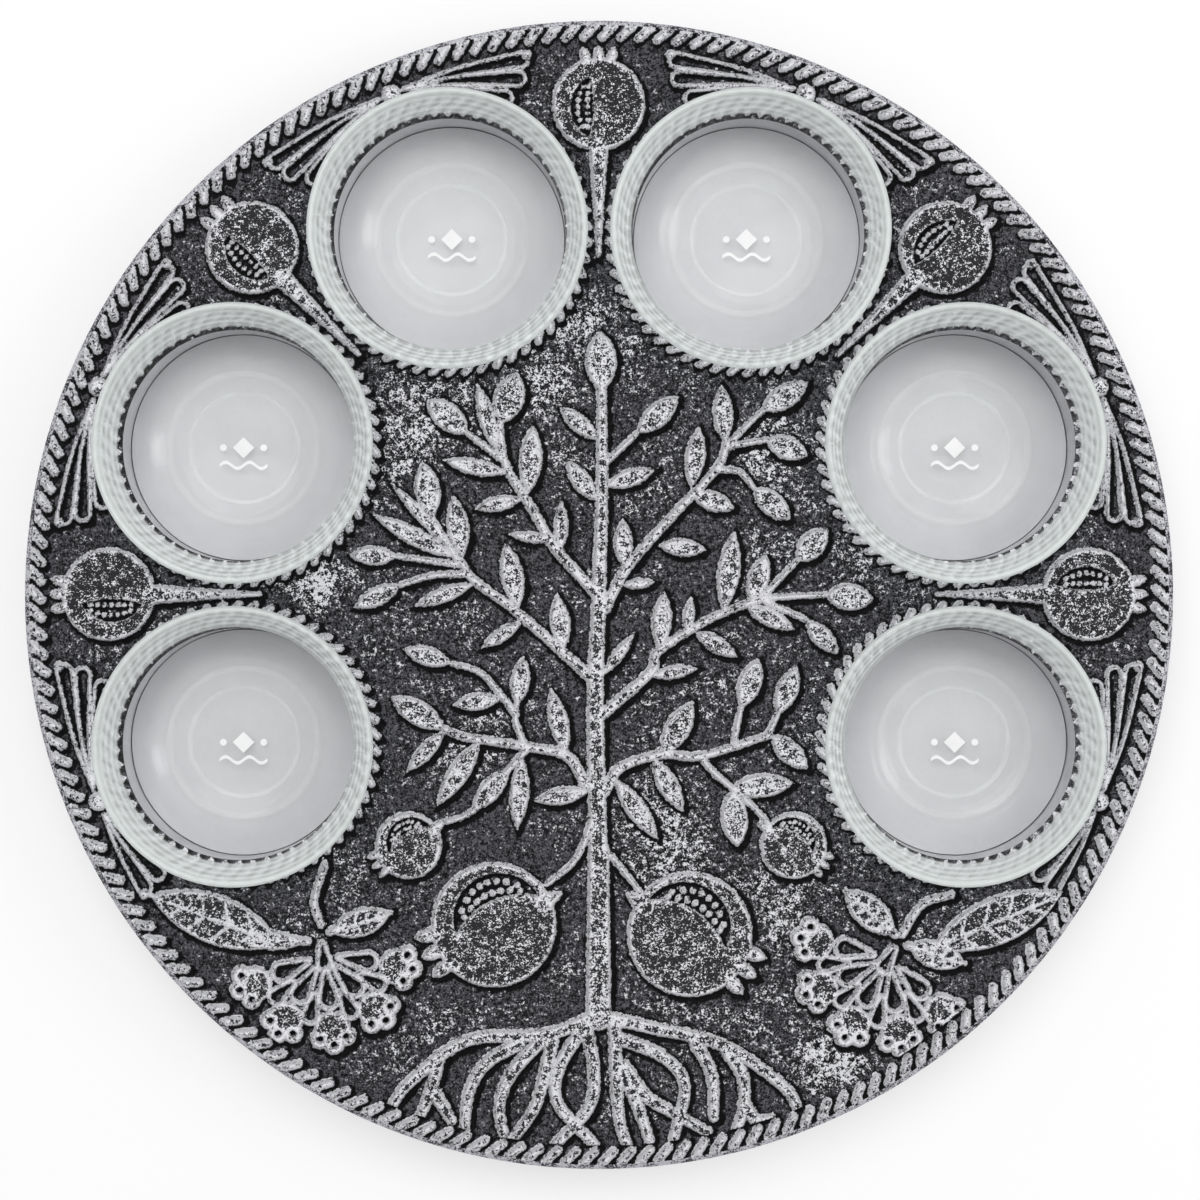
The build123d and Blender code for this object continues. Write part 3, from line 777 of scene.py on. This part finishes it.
# %% Heights of the sheet
groove_depth = 0.45
groove_middle, groove_half = 0.7, 0.75
ground_unevenness, ground_start_width = 0.1, 3
short_waves, long_waves, short_share = 3.0, 14.0, 0.6
wave_count, wave_seed = 24, 7
turn_down_radius = 178.4
fade_width = 0.9


def uneven(size_mm):
    """Smooth random waves about size_mm long, from a fixed seed."""
    waves = np.random.default_rng(wave_seed + int(size_mm * 10))
    total = np.zeros(plan.x.shape)
    for _ in range(wave_count):
        turn, phase = waves.uniform(0, 2 * pi, 2)
        length = size_mm * waves.uniform(0.7, 1.6)
        total += np.sin(2 * pi / length * (plan.x * cos(turn) + plan.y * sin(turn)) + phase)
    return total / (wave_count / 2) ** 0.5


groove = groove_depth * np.exp(-((plan.edge - groove_middle) / groove_half) ** 2)
ground = ground_unevenness * (uneven(short_waves) * short_share + uneven(long_waves))
ground *= smooth(plan.edge / ground_start_width)
from_wells = np.min([np.hypot(plan.x - x, plan.y - y) for x, y in well_centres.values()], axis=0)
fade = smooth((turn_down_radius - from_middle) / fade_width) * smooth((from_wells - well_radius) / fade_width)
height = (plan.rise + ground - groove) * fade
print("heights", round(height.min(), 2), "to", round(height.max(), 2))

# %% [markdown]
# The grid's squares become faces wherever they lie on the sheet. Their outermost corners are drawn onto the
# true circles, so that the outline is round and not a staircase. The normals come from the heights, made a
# little steeper than they are, so that the light picks out a relief that is barely more than a millimetre.

# %% Squares of the sheet and their normals
crispness = 1.6
snap_reach = 3 * grid_step

on_sheet = (from_middle <= turn_down_radius) & (from_wells >= well_radius)
squares = on_sheet[:-1, :-1] & on_sheet[1:, :-1] & on_sheet[:-1, 1:] & on_sheet[1:, 1:]
around_corner = np.zeros(on_sheet.shape, int)
for rows in (slice(None, -1), slice(1, None)):
    for columns in (slice(None, -1), slice(1, None)):
        around_corner[rows, columns] += squares
outline = (around_corner > 0) & (around_corner < 4)

plan_x, plan_y = plan.x.copy(), plan.y.copy()
at_edge = outline & (from_middle > turn_down_radius - snap_reach)
plan_x[at_edge] *= turn_down_radius / from_middle[at_edge]
plan_y[at_edge] *= turn_down_radius / from_middle[at_edge]
for x, y in well_centres.values():
    gap = np.hypot(plan.x - x, plan.y - y)
    at_well = outline & (gap < well_radius + snap_reach)
    plan_x[at_well] = x + (plan.x[at_well] - x) * well_radius / gap[at_well]
    plan_y[at_well] = y + (plan.y[at_well] - y) * well_radius / gap[at_well]
height[outline] = 0
slope_y, slope_x = np.gradient(height, grid_step)
normals = np.dstack([-slope_x * crispness, -slope_y * crispness, np.ones_like(slope_x)])
normals /= np.linalg.norm(normals, axis=2, keepdims=True)
places = np.dstack([plan_x, plan_y, sheet_top + height]) * mm
print("squares", int(squares.sum()))

# %% [markdown]
# The face is made in four quarters to keep each mesh a handy size. They share their normals along the seams,
# so no seam shows. What the plan knows goes along as attributes, which the finish will read, and a flat
# layout as seen from above is kept as a UV map.

# %% Four quarters of the face
def quarter(name, wanted):
    """One quarter of the face, with its distances, wear and painted shade kept as attributes."""
    rows, columns = np.nonzero(squares & wanted)
    stride = on_sheet.shape[1]
    first = rows * stride + columns
    corners = np.stack([first, first + 1, first + stride + 1, first + stride], axis=1)
    used, corners = np.unique(corners, return_inverse=True)
    mesh = bpy.data.meshes.new(name)
    mesh.vertices.add(len(used))
    mesh.vertices.foreach_set("co", places.reshape(-1, 3)[used].ravel())
    mesh.loops.add(corners.size)
    mesh.loops.foreach_set("vertex_index", corners.ravel())
    mesh.polygons.add(len(rows))
    mesh.polygons.foreach_set("loop_start", np.arange(len(rows)) * 4)
    mesh.update(calc_edges=True)
    for attribute, values in plan_attributes.items():
        layer = mesh.attributes.new(attribute, "FLOAT", "POINT")
        layer.data.foreach_set("value", values.ravel()[used])
    flat = places.reshape(-1, 3)[used][corners.ravel()][:, :2]
    flat = (flat - flat.min(axis=0)) / np.ptp(flat, axis=0)
    mesh.uv_layers.new(name="OFBake").data.foreach_set("uv", flat.ravel())
    mesh.polygons.foreach_set("use_smooth", np.ones(len(rows), bool))
    mesh.normals_split_custom_set_from_vertices(normals.reshape(-1, 3)[used])
    return placed(name, mesh)


plan_attributes = {"edge_mm": plan.edge, "worn": plan.worn, "rubbed": rubbed, "painted_shade_side": painted_shade_side}
right = plan.x[:-1, :-1] >= 0
upper = plan.y[:-1, :-1] >= 0
face_quarters = [
    quarter("relief_upper_right", right & upper), quarter("relief_upper_left", ~right & upper),
    quarter("relief_lower_right", right & ~upper), quarter("relief_lower_left", ~right & ~upper),
]
print("faces", [len(piece.data.polygons) for piece in face_quarters])

# %% [markdown]
# Where the sheet turns down, at the edge and into the wells, it is turned like a pot on a wheel: a profile
# of radius and height, swept round an axis. The same helper will make the glass bowls.

# %% Turned pieces
def arc(centre, radius, start, end, count):
    """Points on an arc of a profile, as radius and height."""
    return [polar_point(radius, start + (end - start) * i / count, centre) for i in range(count + 1)]


def turned(name, profile, centre, segments, crease=40):
    """A profile of (radius, height) in millimetres, swept round an upright axis."""
    turns = np.arange(segments) * 2 * pi / segments
    verts, rings = [], []
    for radius, level in profile:
        count = segments if radius else 1
        rings.append(range(len(verts), len(verts) + count))
        verts += [((centre[0] + radius * cos(t)) * mm, (centre[1] + radius * sin(t)) * mm, level * mm)
                  for t in turns[:count]]
    faces = []
    for lower, upper in zip(rings, rings[1:]):
        for i in range(segments):
            corners = ((lower, i), (lower, i + 1), (upper, i + 1), (upper, i))
            faces.append(list(dict.fromkeys(ring[k % len(ring)] for ring, k in corners)))
    mesh = bpy.data.meshes.new(name)
    mesh.from_pydata(verts, [], faces)
    mesh.polygons.foreach_set("use_smooth", np.ones(len(faces), bool))
    mesh.set_sharp_from_angle(angle=radians(crease))
    from_axis = [np.hypot(x / mm - centre[0], y / mm - centre[1]) for x, y, _ in verts]
    mesh.attributes.new("radius_mm", "FLOAT", "POINT").data.foreach_set("value", from_axis)
    return placed(name, mesh)


print("turning tools ready")

# %% The sheet's edge and the collars in the wells
hem_width, hem_round = 8.0, 0.8
edge_segments, collar_segments = 720, 192

edge_round = plate_radius - turn_down_radius
hem_level = board_bottom - sheet_thickness
edge_profile = [(plate_radius - hem_width, board_bottom), (plate_radius - hem_width, hem_level)]
edge_profile += arc((plate_radius - hem_round, hem_level + hem_round), hem_round, -90, 0, 5)
edge_profile += arc((turn_down_radius, sheet_top - edge_round), edge_round, 0, 90, 8)
plate_edge = turned("plate_edge", edge_profile, (0, 0), edge_segments)
collar_profile = [(well_radius, sheet_top), (well_radius, board_bottom)]
collars = [turned(f"well_collar_{name}", collar_profile, centre, collar_segments)
           for name, centre in well_centres.items()]
sheet_pieces = face_quarters + [plate_edge] + collars
print("sheet pieces", len(sheet_pieces))

# %% [markdown]
# ## Blackened and rubbed metal
# The finish is a black patina, rubbed back with a nearly dry pad of silver: bright on what stands proud,
# black in the grooves, and on the ground a dark grey with drifts of bright flecks where the pad just
# touched. The distance kept on each vertex says where a point lies, and noise breaks up every border.

# %% Grain and shader of the metal
grain_size, grit_size, cluster_size, drift_size = 0.62, 1.5, 5.0, 24
silver_metallic = 0.3
patina_roughness, silver_smoothness = 0.66, 0.18
patina_specular = 0.08


def metal_grain(finish):
    """Noise about zero: fine grain, coarser grit and loose clusters."""
    return (finish.noise(grain_size, 3.0, 0.75) - 0.5, finish.noise(grit_size, 3.0, 0.65) - 0.5,
            finish.noise(cluster_size, 2.0, 0.6, 0.8) - 0.5)


def metal(finish, grain, grit, colour, bright):
    """A dull patina that turns to silver where it is bright."""
    shader = finish.node("BsdfPrincipled", None, {
        "Base Color": colour, "Metallic": bright * silver_metallic,
        "Roughness": patina_roughness - bright * silver_smoothness,
        "Normal": finish.bump(grain * 0.7 + grit * 0.5, 0.6, 0.5), "Specular IOR Level": patina_specular})
    return finish.surface(shader)


print("noise", grain_size, "to", drift_size, "mm")

# %% [markdown]
# On the face the finish is built from masks. `raised` is 1 on the motifs, with a ragged border, and `groove`
# is 1 in the black line round them. `flecks` are what the pad left on the ground, more of them in the open
# and where it touched. `specks` are what it missed on the motifs, more of them in dished middles. On the
# edge there is no picture, so there the noise alone decides.

# %% Paint the face and the edge
groove_black, patina_black, patina_grey = tone(8, 8, 9), tone(18, 18, 20), tone(94, 94, 99)
speck_black, rubbed_silver = tone(46, 46, 49), tone(232, 232, 236)
edge_black, edge_silver = tone(52, 52, 56), tone(198, 198, 205)
cover = 0.95


def face_patina(name):
    finish = Finish(name)
    grain, grit, cluster = metal_grain(finish)
    drift = finish.noise(drift_size, 2.0, 0.5) - 0.5
    edge, worn, rubbed, painted_shade_side = (finish.attribute(attribute) for attribute in plan_attributes)
    # Painted shade: on the side of each motif away from the light the silver is narrowed and the black line
    # widened.
    raised = finish.step(edge + painted_shade_side * 0.35 + grain * 1.4 + grit * 1.6, 0.12, -0.08)
    ragged_groove = edge - painted_shade_side * 0.7 + grit * 2.5 + cluster * 2.0
    groove = finish.step(edge, -0.5, 0.0) * finish.step(ragged_groove, 1.5, 0.9)
    inner = finish.step(edge, -0.7, -1.3)
    open_ground = finish.step(edge, 1.5, 4.5)
    touched = (grain * 0.8 + grit * 0.7 + cluster * 0.35 + drift * 0.3 + open_ground * 0.03
               + rubbed * 0.13 - groove * 0.3)
    flecks = finish.step(touched, 0.15, 0.19)
    missed = grain + grit * 0.7 + cluster * 0.25 + inner * 0.07 + worn * 0.11
    specks = finish.step(missed, 0.08, 0.12)
    ground = finish.blend(finish.step(grain + grit * 0.6, -0.1, 0.12), patina_black, patina_grey)
    ground = finish.blend(groove * cover, ground, groove_black)
    ground = finish.blend(flecks * cover, ground, rubbed_silver)
    silver = finish.blend(specks, rubbed_silver, speck_black)
    bright = (raised * (1 - specks)).greater(flecks)
    return metal(finish, grain, grit, finish.blend(raised, ground, silver), bright)


def edge_patina(name):
    finish = Finish(name)
    grain, grit, cluster = metal_grain(finish)
    bright = finish.step(grain + cluster * 0.5, -0.06, 0.02)
    return metal(finish, grain, grit, finish.blend(bright, edge_black, edge_silver), bright)


face_metal, edge_metal = face_patina("blackened_metal"), edge_patina("rubbed_edge_metal")
print("patinas", face_metal.name, edge_metal.name)

# %% [markdown]
# Plainer surfaces share one quiet finish: two close colours, mixed by fine grain and wide blotches, with a
# trace of bump. The collars in the wells get a light grey of that kind, close to the well floors: painted
# light that hides the shade falling down the well walls.

# %% A quiet finish, and metal for every piece of the sheet
blotch_scale = 14


def plain(name, dark, light, size_mm, roughness, bump):
    finish = Finish(name)
    fine = finish.noise(size_mm, 4.0, 0.6)
    wide = finish.noise(size_mm * blotch_scale, 2.0, 0.5)
    colour = finish.blend(finish.step(fine * 0.6 + wide * 0.4, 0.35, 0.65), dark, light)
    shader = finish.node("BsdfPrincipled", None, {
        "Base Color": colour, "Roughness": roughness + (wide - 0.5) * 0.1,
        "Normal": finish.bump(fine, bump, 0.1)})
    return finish.surface(shader)


# Painted light: the collars are light grey so that the shade inside the wells does not show on them.
collar_painted_light = plain("collar_painted_light_grey", tone(186, 186, 190), tone(206, 206, 210),
                     size_mm=0.7, roughness=0.5, bump=0.1)
for pieces, material in ((face_quarters, face_metal), ([plate_edge], edge_metal), (collars, collar_painted_light)):
    for piece in pieces:
        piece.data.materials.append(material)
for piece in sheet_pieces:
    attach(piece, "plate")
    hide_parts("embossed_sheet")
print("metal on", len(sheet_pieces), "pieces")

# %% [markdown]
# ## Floors of the wells, board, backing and feet
# These pieces keep their solid shapes and only need a finish. The well floors are smooth silver-grey, the
# board is raw fibreboard, the backing is black card-faced board, and the feet are rubber.

# %% Finish the plain pieces
def dress(node, material):
    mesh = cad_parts[node].data
    mesh.materials.clear()
    mesh.materials.append(material)


well_floor = plain("silver_grey_floor", tone(191, 191, 194), tone(197, 197, 200),
                   size_mm=0.7, roughness=0.5, bump=0.04)
fibreboard = plain("raw_fibreboard", tone(140, 112, 82), tone(172, 142, 108),
                   size_mm=0.8, roughness=0.85, bump=0.4)
backing = plain("black_backing", tone(24, 24, 25), tone(38, 38, 40), size_mm=0.5, roughness=0.7, bump=0.3)
rubber = plain("foot_rubber", tone(18), tone(30), size_mm=0.4, roughness=0.6, bump=0.3)
for name in well_names:
    dress(f"well_liner_{name}", well_floor)
dress("base_board", fibreboard)
dress("back_panel", backing)
feet = [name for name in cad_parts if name.startswith("foot_")]
for name in feet:
    dress(name, rubber)
print("plain pieces", len(well_names) + 2 + len(feet))

# %% [markdown]
# ## Glass bowls
# The bowls are pressed glass: a foot ring, a round belly that drops into the well, a flared wall and a
# rounded lip with fine turned lines under it. Each is turned again here with many more segments than a
# solid model needs, because glass shows every facet.

# %% Curves of a bowl's profile
def between(start, end, bulge, count):
    """Points on a shallow curve from start to end, bulging to the right of the way."""
    (ra, za), (rb, zb) = start, end
    length = np.hypot(rb - ra, zb - za)
    right = ((zb - za) / length, (ra - rb) / length)
    points = []
    for i in range(count + 1):
        t = i / count
        out = bulge * 4 * t * (1 - t)
        points.append((ra + (rb - ra) * t + right[0] * out, za + (zb - za) * t + right[1] * out))
    return points


def rim_lines(points, depth, lines):
    """Fine turned lines in the last stretch of a wall."""
    return [(r - depth * (0.5 - 0.5 * cos(2 * pi * lines * i / (len(points) - 1))), z)
            for i, (r, z) in enumerate(points)]


print("profile tools ready")

# %% Turn the bowls
bowl_low, bowl_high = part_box("bowl_top_left")
bowl_rim = (bowl_high.x - bowl_low.x) / 2 / mm
bowl_seat, bowl_top = bowl_low.z / mm, bowl_high.z / mm
bowl_wall, floor_thickness, floor_radius = 2.4, 3.2, 20
seat_gap = 0.05
foot_profile = [(0, 0.8), (14, 0.8), (15, seat_gap), (17, seat_gap), (18, 1)]
waist_clearance, rim_flare, lined_height = 1.4, 1.4, 7
belly_bulge, wall_bulge, inner_wall_bulge, inner_belly_bulge = 3.6, -0.4, 0.3, -1.8
rim_line_depth, rim_line_count = 0.22, 3
bowl_segments, bowl_crease = 160, 50

floor_level = bowl_seat + floor_thickness
lip = bowl_wall / 2
lip_level = bowl_top - lip
waist = (well_radius - waist_clearance, sheet_top)
inner_waist = (waist[0] - bowl_wall, sheet_top)
shoulder = (bowl_rim - rim_flare, lip_level - lined_height)
outer = [(radius, bowl_seat + level) for radius, level in foot_profile]
outer += between(outer[-1], waist, belly_bulge, 18)[1:]
outer += between(waist, shoulder, wall_bulge, 10)[1:]
outer += rim_lines(between(shoulder, (bowl_rim, lip_level), 0, 36), rim_line_depth, rim_line_count)[1:]
rounded_lip = arc((bowl_rim - lip, lip_level), lip, 0, 180, 12)[1:-1]
inner = between((bowl_rim - bowl_wall, lip_level), inner_waist, inner_wall_bulge, 16)
inner += between(inner_waist, (floor_radius, floor_level), inner_belly_bulge, 18)[1:]
bowl_profile = outer + rounded_lip + inner + [(0, floor_level)]
bowls = {name: turned(f"glass_bowl_{name}", bowl_profile, centre, bowl_segments, bowl_crease)
         for name, centre in well_centres.items()}
print("bowls", len(bowls), "with", len(bowl_profile), "rings")

# %% [markdown]
# Clear glass is nearly colourless on its flat floor, and whitish green where one looks along the wall into
# the rim. Full refraction would bend the well's dark wall into the floor more than the photograph shows,
# because these walls are thin. So the glass bends light only a little, a clear coat gives it the
# reflections of real glass, and a paler shader comes in by height for the rim: the glass's green tint with a
# painted sheen over it. The same shader paints two faint rings of highlight in the floor, where the foot and
# the belly turn. A path tracer would need many bounces to bring light down through it, so for shadow
# rays the glass is swapped for a transparent one.

# %% Glaze the bowls
rim_band_start, rim_band_full = sheet_top + 7.2, sheet_top + 9.0
foot_ring, belly_ring = 17.3, 23.5
line_rate, fine_line_rate = 2.9, 7.7

glass = Finish("clear_glass")
level = glass.node("SeparateXYZ", None, {"Vector": glass.place()}, out="Z") / mm
radius = glass.attribute("radius_mm")
line, fine_line = (level * line_rate).sine(), (level * fine_line_rate).sine()
band = glass.step(level, rim_band_start, rim_band_full) * (0.72 + line * 0.1)
# Painted highlight: two faint pale rings in the floor, where the foot ring and the belly's curve catch the
# light.
rings = glass.step((radius - foot_ring) ** 2, 0.7, 0.0) * 0.16
rings += glass.step((radius - belly_ring) ** 2, 1.6, 0.0) * 0.1
clear = glass.node("BsdfPrincipled", None, {
    "Base Color": tone(254), "Roughness": 0.0, "IOR": 1.03, "Transmission Weight": 1.0,
    "Coat Weight": glass.step(level, floor_level - 0.6, floor_level) * 0.6, "Coat Roughness": 0.14,
    "Coat IOR": 1.45})
# The rim's colour is the glass's green tint, with painted sheen and streaks of painted reflection.
rim_tint_and_sheen = glass.blend(0.5 + line * 0.3 + fine_line * 0.2, tone(218, 226, 224), tone(252, 254, 253))
tint_and_painted_sheen = glass.node("BsdfPrincipled", None, {
    "Base Color": rim_tint_and_sheen, "Roughness": 0.12, "Transmission Weight": 0.1, "IOR": 1.4})
shadow = glass.node("BsdfTransparent", None, {"Color": tone(247, 249, 248)})
shadow_ray = glass.node("LightPath", out="Is Shadow Ray")
body = glass.node("MixShader", None, {0: band.greater(rings), 1: clear, 2: tint_and_painted_sheen})
glazed = glass.surface(glass.node("MixShader", None, {0: shadow_ray, 1: body, 2: shadow}))
for name, bowl in bowls.items():
    bowl.data.materials.append(glazed)
    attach(bowl, f"bowl_{name}")
    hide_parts(f"bowl_{name}")
print("glass", glazed.name)

# %% [markdown]
# A small white print marks the floor of each bowl: a lozenge between two dots, over a shallow wave. It is
# a handful of flat faces that rest on the glass, which is lighter than any picture would be.

# %% Print the bowls
print_lift = 0.08
lozenge_half = 3.4
dot_radius, dot_aside, dot_sides = 1.1, 6.4, 16
wave_half, wave_drop, wave_swing, wave_line, wave_steps = 7.6, -5.6, 1.0, 1.1, 24


def floor_print(name, centre):
    outlines = [[(lozenge_half, 0), (0, lozenge_half), (-lozenge_half, 0), (0, -lozenge_half)]]
    for aside in (-dot_aside, dot_aside):
        outlines.append([polar_point(dot_radius, 360 * i / dot_sides, (aside, 0)) for i in range(dot_sides)])
    xs = np.linspace(-wave_half, wave_half, wave_steps + 1)
    ys = wave_drop + wave_swing * np.sin(xs / wave_half * 2 * pi)
    half = wave_line / 2
    for x, y, x_next, y_next in zip(xs, ys, xs[1:], ys[1:]):
        outlines.append([(x, y - half), (x_next, y_next - half), (x_next, y_next + half), (x, y + half)])
    verts, faces = [], []
    print_level = (floor_level + print_lift) * mm
    for outline in outlines:
        faces.append(range(len(verts), len(verts) + len(outline)))
        verts += [((centre[0] + x) * mm, (centre[1] + y) * mm, print_level) for x, y in outline]
    mesh = bpy.data.meshes.new(name)
    mesh.from_pydata(verts, [], faces)
    return placed(name, mesh)


white_print = plain("white_print", tone(246), tone(254), size_mm=0.5, roughness=0.5, bump=0.05)
for name, centre in well_centres.items():
    piece = floor_print(f"bowl_print_{name}", centre)
    piece.data.materials.append(white_print)
    piece.visible_shadow = False
    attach(piece, f"bowl_{name}")
print("prints", len(well_centres))
